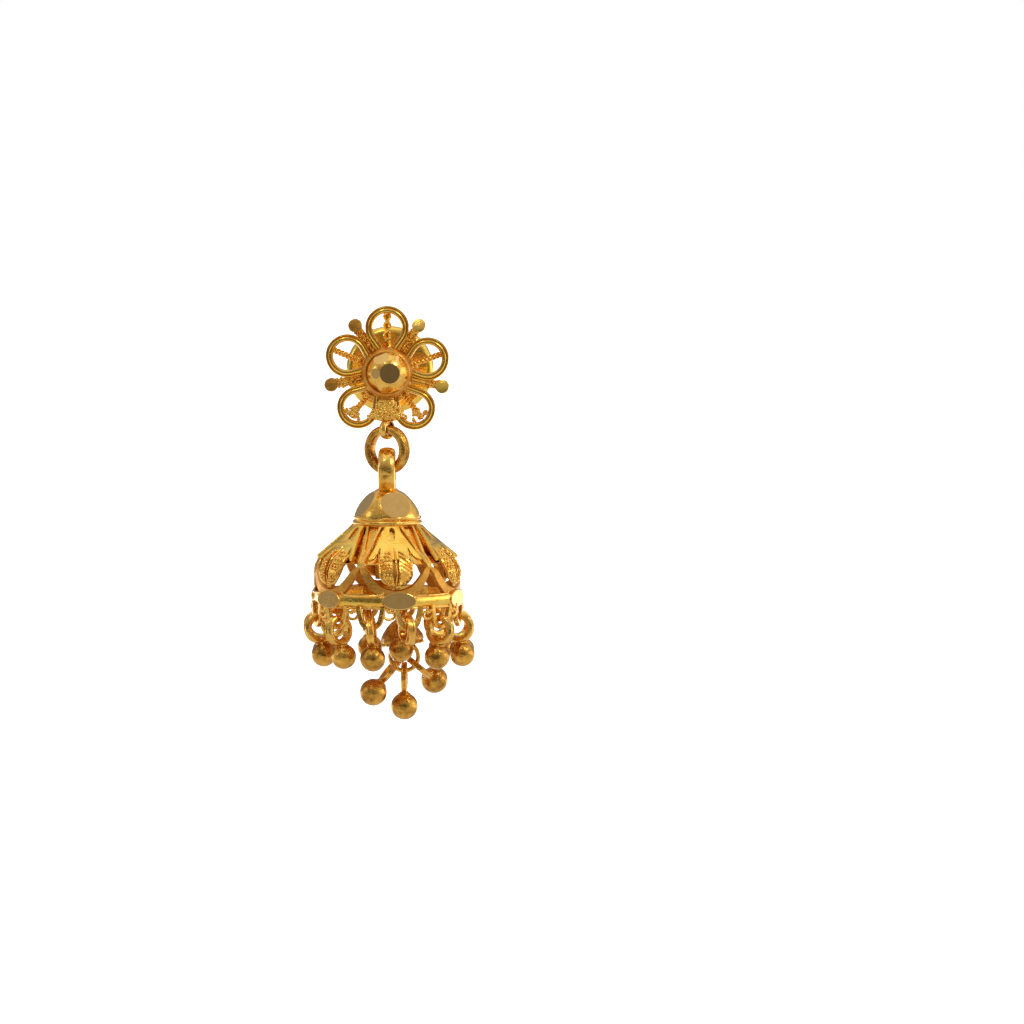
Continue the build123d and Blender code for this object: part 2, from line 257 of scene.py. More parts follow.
def sweep(stations, outline, closed=False):
    """Runs a flat outline through a row of places and caps the ends, or joins them in a closed round."""
    shape = bmesh.new()
    ring = [shape.verts.new(stations[0] @ Vector((x, y, 0))) for x, y in outline]
    edges = [shape.edges.new(pair) for pair in zip(ring, ring[1:] + ring[:1])]
    if not closed:
        shape.faces.new(ring)
    last = stations[0]
    for station in [*stations[1:], *([stations[0]] if closed else [])]:
        grown = bmesh.ops.extrude_edge_only(shape, edges=edges)["geom"]
        fresh = [part for part in grown if isinstance(part, bmesh.types.BMVert)]
        edges = [part for part in grown if isinstance(part, bmesh.types.BMEdge)]
        bmesh.ops.transform(shape, matrix=station @ last.inverted(), verts=fresh)
        last = station
    if closed:
        bmesh.ops.remove_doubles(shape, verts=shape.verts, dist=MERGE)
    else:
        bmesh.ops.edgeloop_fill(shape, edges=edges)
    bmesh.ops.recalc_face_normals(shape, faces=shape.faces)
    return shape


def circle(radius, count=8, off=0.0, squash=1.0):
    return [
        (off + radius * cos(2 * pi * step / count), squash * radius * sin(2 * pi * step / count))
        for step in range(count)
    ]


def along(points, up=None, closed=False):
    """Places along a row of points, each with Z along the run; X keeps to the side that up gives."""
    points = [Vector(point) for point in points]
    stations = []
    for index, point in enumerate(points):
        before = points[index - 1] if index or closed else point
        after = points[(index + 1) % len(points)] if index + 1 < len(points) or closed else point
        ahead = (after - before).normalized()
        side = Vector(up).cross(ahead) if up else ahead.orthogonal()
        if up is None and stations:
            side = stations[-1].col[0].to_3d()
        stations.append(facing(point, side, ahead))
    return stations


def wire(points, radius, count=8, up=None, closed=False):
    """A round wire through a row of points."""
    return sweep(along(points, up, closed), circle(radius, count), closed)


def rope(points, radius, pitch, strands=2, up=(0, 0, 1)):
    """Strands laid round each other with this pitch."""
    made = []
    for strand in range(strands):
        travelled, stations, last = 0.0, [], None
        for station in along(points, up):
            spot = station.translation
            travelled += (spot - last).length if last is not None else 0.0
            last = spot
            turn = 2 * pi * (travelled / pitch + strand / strands)
            stations.append(station @ Matrix.Rotation(turn, 4, "Z"))
        made.append(sweep(stations, circle(radius * 0.56, 6, off=radius * 0.5)))
    return made


def turned(profile, steps=48, closed=False):
    """Turns a profile of radius and height about Z; a closed profile is a ring's own section."""
    shape = bmesh.new()
    verts = [shape.verts.new((radius, 0, height)) for radius, height in profile]
    pairs = zip(verts, verts[1:] + (verts[:1] if closed else []))
    edges = [shape.edges.new(pair) for pair in pairs]
    bmesh.ops.spin(
        shape, geom=verts + edges, cent=(0, 0, 0), axis=(0, 0, 1), angle=2 * pi, steps=steps, use_merge=True
    )
    settle(shape)
    return shape


def ball(radius, u=20, v=12):
    shape = bmesh.new()
    bmesh.ops.create_uvsphere(shape, u_segments=u, v_segments=v, radius=radius)
    return shape


def cut_flat(shape, point, normal):
    """Takes off what stands past a plane and closes the cut with one flat face, marked as a facet."""
    whole = shape.verts[:] + shape.edges[:] + shape.faces[:]
    bmesh.ops.bisect_plane(
        shape, geom=whole, dist=0.0001, plane_co=point, plane_no=normal, clear_outer=True, clear_inner=False
    )
    open_edges = [edge for edge in shape.edges if edge.is_boundary]
    made = bmesh.ops.contextual_create(shape, geom=open_edges)["faces"] if open_edges else []
    for face in made:
        face.material_index = IS_FACET
    bmesh.ops.recalc_face_normals(shape, faces=shape.faces)


def rounded(shape, width, segments=2, least_angle=35):
    """Rounds the edges that turn by more than an angle."""
    least = radians(least_angle)
    edges = [edge for edge in shape.edges if edge.is_manifold and edge.calc_face_angle(0) > least]
    bmesh.ops.bevel(
        shape, geom=edges, offset=width, segments=segments, profile=0.5, affect="EDGES", material=-1,
        clamp_overlap=True,
    )
    return shape


def plate(outlines, thick, edge=0.03):
    """A flat plate from closed outlines, the first its rim and the others its holes, with softened edges."""
    data = bpy.data.curves.new("plate", "CURVE")
    data.dimensions = "2D"
    data.fill_mode = "BOTH"
    data.extrude = max(thick / 2 - edge, 0.0)
    data.bevel_depth = edge
    data.bevel_resolution = 1
    data.offset = -edge
    for outline in outlines:
        spline = data.splines.new("POLY")
        spline.points.add(len(outline) - 1)
        for point, (x, y) in zip(spline.points, outline):
            point.co = (x, y, 0, 1)
        spline.use_cyclic_u = True
    holder = bpy.data.objects.new("plate", data)
    mesh = bpy.data.meshes.new_from_object(holder)
    shape = bmesh.new()
    shape.from_mesh(mesh)
    bpy.data.objects.remove(holder)
    bpy.data.curves.remove(data)
    bpy.data.meshes.remove(mesh)
    settle(shape)
    for face in shape.faces:
        face.material_index = IS_POLISHED
    return shape


class Piece:
    """One visible piece: shapes are set into it in millimetres, then it is finished on its body."""

    def __init__(self, name, body, slot, nodes=()):
        self.name, self.body, self.slot, self.nodes = name, body, slot, nodes
        self.shape = bmesh.new()

    def add(self, shape, place=Matrix(), finish=IS_POLISHED, keep=False):
        """Sets a shape in place. Faces marked with a finish of their own keep it, and facets stay flat."""
        for face in shape.faces:
            if face.material_index == IS_POLISHED:
                face.material_index = finish
            face.smooth = face.material_index != IS_FACET
        bmesh.ops.transform(shape, matrix=place, verts=shape.verts)
        mesh = bpy.data.meshes.new("part")
        shape.to_mesh(mesh)
        self.shape.from_mesh(mesh)
        bpy.data.meshes.remove(mesh)
        if keep:
            bmesh.ops.transform(shape, matrix=place.inverted(), verts=shape.verts)
        else:
            shape.free()

    def grains(self, spots, finish=IS_GRAINED):
        """Melts small grains onto spots, each a point and a radius."""
        grain = bmesh.new()
        bmesh.ops.create_uvsphere(grain, u_segments=8, v_segments=5, radius=1)
        for point, radius in spots:
            tilt = Matrix.Rotation(random.uniform(0, pi), 4, "X")
            turn = Matrix.Rotation(random.uniform(0, pi), 4, "Z")
            size = Matrix.Diagonal((radius, radius * random.uniform(0.85, 1.0), radius, 1))
            self.add(grain, Matrix.Translation(point) @ (tilt @ turn) @ size, finish, keep=True)
        grain.free()

    def done(self):
        for edge in self.shape.edges:
            edge.smooth = edge.is_manifold and edge.calc_face_angle(0) < radians(SHARP)
        bmesh.ops.transform(self.shape, matrix=Matrix.Scale(MM, 4), verts=self.shape.verts)
        mesh = bpy.data.meshes.new(self.name)
        self.shape.to_mesh(mesh)
        self.shape.free()
        for material in FINISHES:
            mesh.materials.append(material)
        piece = bpy.data.objects.new(self.name, mesh)
        bpy.context.scene.collection.objects.link(piece)
        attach(piece, self.body)
        if self.nodes:
            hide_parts(*self.nodes)
        return piece

# -------------------------------- the flower stud

# Section of a petal's strip: distance outward from its middle, and height from the back
PETAL_SECTION = (
    (-0.24, 0.0), (-0.24, 0.68), (-0.22, 0.75), (-0.19, 0.76), (-0.16, 0.73), (-0.14, 0.62), (-0.11, 0.62),
    (-0.08, 0.72), (-0.02, 0.78), (0.06, 0.8), (0.14, 0.78), (0.2, 0.7), (0.24, 0.55), (0.24, 0.0),
)


LEG_STEPS = 5
END_STEPS = 36


def petal_path(middle, radius, point):
    """The two legs and the round end of a petal pointing along +X."""
    reach = middle - point
    half_angle = asin(radius / reach)
    leg = sqrt(reach**2 - radius**2)
    shoulder = Vector((point + leg * cos(half_angle), leg * sin(half_angle), 0))
    start = Vector((point, 0, 0))
    points = [start.lerp(shoulder, step / LEG_STEPS) for step in range(LEG_STEPS)]
    first = pi / 2 + half_angle
    for step in range(END_STEPS + 1):
        angle = first - 2 * first * step / END_STEPS
        points.append(Vector((middle + radius * cos(angle), radius * sin(angle), 0)))
    # The second leg is the first one's mirror image, run back to the point.
    return points + [Vector((spot.x, -spot.y, 0)) for spot in points[LEG_STEPS - 1 :: -1]]


def straight(start, end, steps):
    start, end = Vector(start), Vector(end)
    return [start.lerp(end, step / steps) for step in range(steps + 1)]


flower = Piece("flower_petals", "stud", "polished_gold", ("flower_stud",))
for angle, middle, end_radius in PETALS:
    petal_place = front(PETAL_SET_BACK) @ Matrix.Rotation(radians(angle), 4, "Z")
    path = petal_path(middle, end_radius - PETAL_HALF_STRIP, PETAL_LEG_POINT)
    stations = []
    for index, spot in enumerate(path):
        ahead = (path[min(index + 1, len(path) - 1)] - path[max(index - 1, 0)]).normalized()
        stations.append(facing(spot, Vector((0, 0, 1)).cross(ahead) * -1, ahead))
    flower.add(sweep(stations, [(x, -y) for x, y in PETAL_SECTION]), petal_place, IS_BRIGHT)
flower.done()

filigree = Piece("flower_filigree", "stud", "grained_gold")
front_place = front(PETAL_SET_BACK)
# Rope ribs in the petals: angle, where the rope starts and ends, its radius, pitch and number of strands
RIBS = (
    (90, 1.3, 4.05, 0.28, 1.25, 2),
    (157, 1.3, 3.9, 0.22, 0.8, 3),
    (19, 1.3, 3.85, 0.22, 0.8, 3),
    (230, 1.3, 3.9, 0.23, 0.7, 3),
    (307, 1.3, 3.9, 0.23, 0.7, 3),
)
for angle, start, end, radius, pitch, strands in RIBS:
    run = straight(polar(start, angle, 0.28), polar(end, angle, 0.34), int((end - start) / pitch * 9))
    for strand in rope(run, radius, pitch, strands):
        filigree.add(strand, front_place, IS_BRIGHT if strands == 2 else IS_GRAINED)
# Grains at the tips of the lower petals, and where every rib leaves the core
spots = []
for angle in (230, 307):
    for step in range(34):
        reach = 3.15 + 0.75 * random.random()
        spread = (reach - 2.9) * 0.75
        side = random.uniform(-spread, spread)
        spots.append((polar(reach, angle, 0.42) + polar(side, angle + 90), random.uniform(0.09, 0.15)))
for angle in (157, 230, 307, 19):
    for step in range(14):
        reach = random.uniform(1.6, 2.15)
        spots.append((polar(reach, angle + random.uniform(-9, 9), 0.5), random.uniform(0.08, 0.13)))
# Stems of three wires between the petals: angle, and where along the stem its grains begin
STEMS = ((56, 1.75), (124, 1.75), (192, 1.75), (346, 2.75))
STEM_START = 1.5
STEM_END = 3.6
STEM_HEIGHT = 0.32
for angle, grain_start in STEMS:
    for side in (-0.23, 0.0, 0.23):
        start = polar(STEM_START, angle, STEM_HEIGHT) + polar(side, angle + 90)
        end = polar(STEM_END, angle, STEM_HEIGHT) + polar(side * 0.7, angle + 90)
        filigree.add(wire(straight(start, end, 4), 0.11, 8, up=(0, 0, 1)), front_place, IS_POLISHED)
    for step in range(int((STEM_END - grain_start) * 30)):
        reach = random.uniform(grain_start, STEM_END)
        side = random.uniform(-0.3, 0.3)
        height = 0.5 - abs(side) * 0.5
        spots.append((polar(reach, angle, height) + polar(side, angle + 90), random.uniform(0.08, 0.13)))
# Solder and grains at the foot of the flower widen downward and end above the hanger.
FOOT_GRAINS = 260
FOOT_GRAINS_TOP = -1.85
FOOT_GRAINS_FALL = 1.28
for step in range(FOOT_GRAINS):
    fall = random.random()
    half_width = 0.55 + 0.85 * fall
    side = random.uniform(-half_width, half_width)
    height = 0.55 + 0.35 * sqrt(max(0.0, 1 - (side / half_width) ** 2))
    spot = Vector((side, FOOT_GRAINS_TOP - FOOT_GRAINS_FALL * fall, height))
    spots.append((spot, random.uniform(0.09, 0.15)))
filigree.grains([(front_place @ point, radius) for point, radius in spots])
filigree.done()

boss = Piece("flower_boss", "stud", "polished_gold")
CORE_PROFILE = (
    (0, 0), (1.6, 0), (1.75, 0.12), (1.75, 0.8), (1.7, 1.12), (1.6, 1.34), (1.5, 1.44), (1.42, 1.46),
    (1.37, 1.4), (1.34, 1.3), (0, 1.3),
)
boss.add(turned(CORE_PROFILE, 64), front(), IS_SATIN)
DOME_RADIUS = 1.55
DOME_DEPTH = 0.8
DOME_OFF_CENTRE = 0.06
# Flat cuts on the dome: direction round it, tilt from the front and half angle of the cut, in degrees
DOME_CUTS = (
    (0, 7, 26), (180, 31, 13.5), (41, 57, 18), (112, 50, 21), (232, 64, 17), (295, 60, 15), (330, 68, 11),
)
dome = ball(DOME_RADIUS, 72, 48)
for turn, tilt, half_angle in DOME_CUTS:
    normal = polar(sin(radians(tilt)), turn, cos(radians(tilt)))
    cut_flat(dome, normal * DOME_RADIUS * cos(radians(half_angle)), normal)
boss.add(dome, front(DOME_DEPTH) @ Matrix.Translation((DOME_OFF_CENTRE, 0, 0)), IS_POLISHED)
# Pegs on the stems: angle, then the slope of the end face, across and upward, and the peg's finish; the darker
# satin on the two pegs on the left is painted shade as well as a rougher finish
PEGS = (
    (56, -0.12, 0.42, IS_GRAINED), (124, 0.1, 0.1, IS_SATIN), (192, -0.05, 0.1, IS_SATIN),
    (346, -0.2, 0.3, IS_BRIGHT),
)
PEG_REACH = 3.85
PEG_PROFILE = ((0, 0.1), (0.36, 0.1), (0.45, 0.3), (0.46, 1.08), (0.42, 1.22), (0, 1.22))
for angle, across, upward, finish in PEGS:
    peg = turned(PEG_PROFILE, 28)
    cut_flat(peg, Vector((0, 0, 1.1)), Vector((across, upward, 1)).normalized())
    # The end face has the peg's own finish, not a facet's.
    for face in peg.faces:
        face.material_index = IS_POLISHED
    rounded(peg, 0.05, 2, 60)
    boss.add(peg, front() @ Matrix.Translation(polar(PEG_REACH, angle)), finish)
# The soldered stem at the foot: height, place forward, and how much wider and thicker than at its top
FOOT_STATIONS = (
    (-1.3, 0.5, 1, 1), (-2.3, 0.5, 1.5, 1), (-2.9, 0.47, 2.5, 1), (-3.18, 0.47, 2.0, 0.85),
    (-3.27, 0.47, 1.2, 0.6),
)
stations = [
    facing((0, height, forward), (1, 0, 0), (0, -1, 0)) @ Matrix.Diagonal((wider, thicker, 1, 1))
    for height, forward, wider, thicker in FOOT_STATIONS
]
boss.add(sweep(stations, circle(0.45, 16, squash=0.95)), front_place, IS_GRAINED)
# The loop that carries the jump ring: radius, and place across its width
HANGER_SECTION = (
    (0.49, -0.16), (0.51, -0.23), (0.56, -0.25), (0.64, -0.22), (0.69, -0.12), (0.69, 0.12), (0.64, 0.22),
    (0.56, 0.25), (0.51, 0.23), (0.49, 0.16),
)
link_x = Vector((cos(radians(LINK_TURN)), -sin(radians(LINK_TURN)), 0))
link_y = Vector((sin(radians(LINK_TURN)), cos(radians(LINK_TURN)), 0))
hanger_place = facing((0, HANG_Y, PIVOT_Z), (0, 0, 1), link_x)
boss.add(turned(HANGER_SECTION, 32, closed=True), hanger_place, IS_POLISHED)
# The post, and its thread as one long spiral ridge
POST_PROFILE = ((0, -0.4), (0.4, -0.4), (0.4, 5.2), (0.37, 9.3), (0.28, 9.4), (0, 9.4))
post_place = facing((0, BACK_Y, 0), (1, 0, 0), (0, 1, 0))
boss.add(turned(POST_PROFILE, 24), post_place, IS_SATIN)
THREAD_TURNS = 15
THREAD_TURN_STEPS = 18
THREAD_STEPS = THREAD_TURNS * THREAD_TURN_STEPS
THREAD_START = 2.6
THREAD_LENGTH = 6.4
THREAD_SECTION = ((0.0, -0.12), (0.06, 0.0), (0.0, 0.12), (-0.05, 0.0))
stations = []
for step in range(THREAD_STEPS + 1):
    angle = 360 // THREAD_TURN_STEPS * step
    spot = polar(0.385, angle, THREAD_START + THREAD_LENGTH * step / THREAD_STEPS)
    stations.append(facing(spot, polar(1, angle), polar(1, angle + 90)))
boss.add(sweep(stations, THREAD_SECTION), post_place, IS_SATIN)
boss.done()

# -------------------------------- the screw back

screw_back = Piece("screw_back_disc", "screw_back", "polished_gold", ("screw_back",))
DISC_PROFILE = (
    (0.5, 0.0), (2.55, 0.0), (2.68, 0.02), (2.82, 0.09), (2.93, 0.22), (2.99, 0.4), (3.0, 0.6), (2.98, 0.8),
    (2.91, 0.98), (2.8, 1.12), (2.66, 1.18), (2.5, 1.2), (2.35, 1.12), (1.25, 1.05), (1.1, 1.1), (0.5, 1.1),
)
BARREL_PROFILE = ((0.5, 1.0), (1.08, 1.0), (1.08, 2.85), (0.95, 3.0), (0.5, 3.0))
BARREL_RADIUS = 1.09
GRIP_COUNT = 24
GRIP_STEP = 360 // GRIP_COUNT
disc_place = facing((0, -BACK_Y, 0), (1, 0, 0), (0, 1, 0))
screw_back.add(turned(DISC_PROFILE, 80, closed=True), disc_place, IS_BRIGHT)
screw_back.add(turned(BARREL_PROFILE, 48, closed=True), disc_place, IS_POLISHED)
for step in range(GRIP_COUNT):
    grip = straight(
        polar(BARREL_RADIUS, step * GRIP_STEP, 1.1), polar(BARREL_RADIUS, step * GRIP_STEP, 2.8), 3
    )
    screw_back.add(wire(grip, 0.06, 6, up=(1, 0, 0)), disc_place, IS_POLISHED)
screw_back.done()

# -------------------------------- the jump ring

# Its section: distance from the ring's mean radius, and place across its width
RING_SECTION = (
    (-0.27, -0.28), (-0.27, 0.28), (-0.22, 0.38), (-0.1, 0.43), (0.1, 0.43), (0.21, 0.38), (0.27, 0.27),
    (0.24, 0.16), (0.18, 0.12), (0.24, 0.08), (0.27, 0.0), (0.24, -0.08), (0.18, -0.12), (0.24, -0.16),
    (0.27, -0.27), (0.21, -0.38), (0.1, -0.43), (-0.1, -0.43), (-0.22, -0.38),
)
# The ring is bent from wire: its two ends meet at a fine seam.
SEAM_ANGLE = 196
SEAM_OPENING = 2
RING_STEPS = 72
jump_ring = Piece("linking_ring", "link", "polished_gold", ("jump_ring",))
ring_place = facing((0, HANG_Y, RING_Z), link_x, link_y)
stations = []
for step in range(RING_STEPS + 1):
    angle = SEAM_ANGLE + SEAM_OPENING / 2 + (360 - SEAM_OPENING) * step / RING_STEPS
    stations.append(facing(polar(RING_RADIUS, angle), polar(1, angle), polar(1, angle + 90)))
jump_ring.add(sweep(stations, RING_SECTION), ring_place, IS_BEAD)
jump_ring.done()

# -------------------------------- the bail and the cap

BAIL_RADIUS = 1.24
# Its section: distance from the bail's mean radius, and place across its width
BAIL_SECTION = (
    (-0.34, 0.1), (-0.32, 0.3), (-0.22, 0.49), (0.02, 0.58), (0.2, 0.52), (0.32, 0.32), (0.35, 0.1),
    (0.35, -0.1), (0.32, -0.32), (0.2, -0.52), (0.02, -0.58), (-0.22, -0.49), (-0.32, -0.3), (-0.34, -0.1),
)
# A groove runs down the front of the bail towards the neck, wider as it goes.
GROOVE_TOP = -5.9
GROOVE_FOOT = -7.1
GROOVE_X = -0.1
bail = Piece("bell_cap", "drop", "polished_gold", ("bell",))
bail_place = facing((0, HANG_Y, BAIL_Z), (0, 0, 1), (1, 0, 0))
bow = turned([(BAIL_RADIUS + out, across) for out, across in BAIL_SECTION], 64, closed=True)
for vert in bow.verts:
    spot = bail_place @ vert.co
    if spot.y < HANG_Y and GROOVE_FOOT < spot.z < GROOVE_TOP:
        fall = (GROOVE_TOP - spot.z) / 1.2
        across = max(0.0, 1 - abs(spot.x - GROOVE_X) / (0.1 + 0.2 * fall))
        dip = across * min(1.0, (spot.z - GROOVE_FOOT) / 0.12, fall * 1.6)
        vert.co *= 1 - 0.07 * dip
bail.add(bow, bail_place, IS_POLISHED)
plumb = Matrix.Translation((0, HANG_Y, 0))
# Profiles of radius and height
NECK_PROFILE = (
    (0, -7.1), (0.5, -7.12), (0.6, -7.14), (0.63, -7.19), (0.6, -7.24), (0.58, -7.3), (0.585, -7.72),
    (0.66, -7.84), (0.8, -7.93), (0.5, -8.2), (0, -8.2),
)
bail.add(turned(NECK_PROFILE, 40), plumb, IS_POLISHED)
CAP_PROFILE = (
    (0, -7.84), (0.62, -7.86), (0.9, -7.98), (1.2, -8.14), (1.47, -8.34), (1.72, -8.6), (1.92, -8.88),
    (2.07, -9.18), (2.18, -9.48), (2.25, -9.78), (2.24, -9.84), (1.6, -9.84), (0, -9.84),
)
# Flat cuts round the cap: how many, the first one's turn, and the top and foot of each, radius and height
CAP_CUTS = 4
CAP_TURN = 22
CUT_TOP = Vector((0.98, -8.02))
CUT_FOOT = Vector((2.13, -9.62))
cap = turned(CAP_PROFILE, 96)
run = (CUT_FOOT - CUT_TOP).normalized()
cut_middle = (CUT_TOP + CUT_FOOT) / 2
for index in range(CAP_CUTS):
    outward, _ = around(CAP_TURN + index * 360 / CAP_CUTS)
    normal = outward * -run.y + Vector((0, 0, run.x))
    cut_flat(cap, outward * (cut_middle.x + 0.02) + Vector((0, 0, cut_middle.y)), normal)
bail.add(cap, plumb, IS_POLISHED)
RIM_PROFILE = (
    (0, -9.8), (2.12, -9.76), (2.2, -9.74), (2.24, -9.79), (2.2, -9.86), (2.22, -9.9), (2.3, -9.96),
    (2.36, -10.04), (2.37, -10.12), (2.34, -10.2), (2.3, -10.24), (2.28, -10.31), (2.05, -10.36), (1.9, -10.3),
    (1.85, -9.95), (0, -9.9),
)
bail.add(turned(RIM_PROFILE, 96), plumb, IS_POLISHED)
# A bright wire waves round the foot of the cap, highest under the flat cuts.
WAVE_STEPS = 144
WAVE_LIFT = 0.07
wave = []
for step in range(WAVE_STEPS):
    azimuth = step * 360 / WAVE_STEPS
    outward, _ = around(azimuth)
    lift = WAVE_LIFT * cos(radians(CAP_CUTS * (azimuth - CAP_TURN)))
    wave.append(Vector((0, HANG_Y, -9.78 + lift)) + outward * (2.24 + lift * 0.2))
bail.add(wire(wave, 0.075, 8, up=(0, 0, 1), closed=True), finish=IS_POLISHED)
bail.done()

# -------------------------------- the six leaves

# A leaf's flat upper plate slopes out under the cap: its top and its foot, radius and height
FAN_TOP = Vector((2.22, -10.33))
FAN_FOOT = Vector((4.3, -12.45))
# Half of the fan's outline: distance from the leaf's middle, and height
FAN_HALF = (
    (0.5, -10.33), (0.6, -10.75), (0.86, -11.1), (1.14, -11.5), (1.48, -11.98), (1.8, -12.4), (1.72, -12.5),
    (1.42, -12.36), (1.1, -12.0), (0.93, -11.72), (0.94, -11.95), (1.02, -12.3), (1.05, -12.45),
)
FAN_SLOT = ((0.0, -10.45), (0.16, -10.55), (0.17, -10.95), (0.09, -11.2), (0.0, -11.27))
# Short ridges fan out above the tongue: distance from the leaf's middle and top of each; all end level.
FAN_RIDGES = ((-0.66, -12.0), (-0.33, -11.95), (0.0, -11.75), (0.36, -11.9), (0.68, -12.0))
FAN_RIDGES_FOOT = -12.42
TONGUE_MIDDLE_Z = -13.08
TONGUE_HALF_WIDTH = 1.07
TONGUE_HALF_HEIGHT = 1.02


def fan_place(azimuth):
    """The sloping plane of a leaf's fan, from its top: X across, Y up the slope, Z out."""
    outward, sideways = around(azimuth)
    run = (FAN_FOOT - FAN_TOP).normalized()
    origin = Vector((0, HANG_Y, FAN_TOP.y)) + outward * FAN_TOP.x
    return facing(origin, sideways, outward * -run.y + Vector((0, 0, run.x)))


def down_slope(height):
    """Height on the fan as a distance from its top, measured up the slope."""
    return (height - FAN_TOP.y) * (FAN_FOOT - FAN_TOP).length / (FAN_TOP.y - FAN_FOOT.y)


def mirrored(half):
    """A closed outline from its right half, listed downward."""
    return [*half, *((-x, y) for x, y in reversed(half) if abs(x) > 0.001)]


def smooth_run(points, parts=4):
    """Rounds a row of points into a soft curve through them."""
    points = [Vector(point) for point in points]
    made = []
    for index in range(len(points) - 1):
        before, start = points[max(index - 1, 0)], points[index]
        end, after = points[index + 1], points[min(index + 2, len(points) - 1)]
        for step in range(parts):
            t = step / parts
            made.append(
                0.5 * (2 * start + (end - before) * t + (2 * before - 5 * start + 4 * end - after) * t**2
                       + (3 * start - before - 3 * end + after) * t**3)
            )
    return [*made, points[-1]]


def strip_on_cage(azimuth, points, section, finish, piece, parts=5):
    """A strip that follows the cage through points of distance across, height, proud and width."""
    rows = smooth_run(points, parts)
    spots = [on_cage(azimuth, row[0], row[1], row[2]) for row in rows]
    stations = []
    for index, spot in enumerate(spots):
        ahead = (spots[min(index + 1, len(spots) - 1)] - spots[max(index - 1, 0)]).normalized()
        out = on_cage(azimuth, rows[index][0], rows[index][1], rows[index][2] + 1) - spot
        station = facing(spot, out.cross(ahead), ahead)
        stations.append(station @ Matrix.Diagonal((rows[index][3], 1, 1, 1)))
    piece.add(sweep(stations, section), finish=finish)


# Sections across a strip of unit width: place across it, and height towards its face
FLAT_SECTION = ((-0.5, -0.16), (-0.5, 0.02), (-0.42, 0.1), (0.42, 0.1), (0.5, 0.02), (0.5, -0.16))
EDGE_SECTION = ((-0.5, -0.22), (-0.5, 0.06), (-0.3, 0.13), (0.3, 0.13), (0.5, 0.06), (0.5, -0.22))


def on_tongue(azimuth, x, y, lift=0.0):
    """A point on a leaf's tongue: x to 1 at its edge, y from 1 at its top to -1 at its round foot."""
    reach = sqrt(max(0.0, 1 - max(0.0, (-0.05 - y) / 0.95) ** 2))
    swell = 0.12 + 0.24 * cos(x * pi / 2 * 0.9) * reach + lift
    return on_cage(azimuth, x * reach * TONGUE_HALF_WIDTH, TONGUE_MIDDLE_Z + y * TONGUE_HALF_HEIGHT, swell)


def tongue_lobe(azimuth, side, piece, finish):
    """One domed half of a leaf's tongue, beside the slit."""
    shape = bmesh.new()
    bmesh.ops.create_grid(shape, x_segments=5, y_segments=16, size=1)
    for vert in shape.verts:
        x = side * (0.2 + 0.8 * (vert.co.x + 1) / 2)
        vert.co = on_tongue(azimuth, x, max(vert.co.y, -0.985))
    bmesh.ops.recalc_face_normals(shape, faces=shape.faces)
    # The thickness goes inward from the domed face.
    if sum(face.normal.dot(around(azimuth)[0]) for face in shape.faces) < 0:
        bmesh.ops.reverse_faces(shape, faces=shape.faces)
    bmesh.ops.solidify(shape, geom=shape.faces[:], thickness=0.18)
    bmesh.ops.recalc_face_normals(shape, faces=shape.faces)
    piece.add(shape, finish=finish)


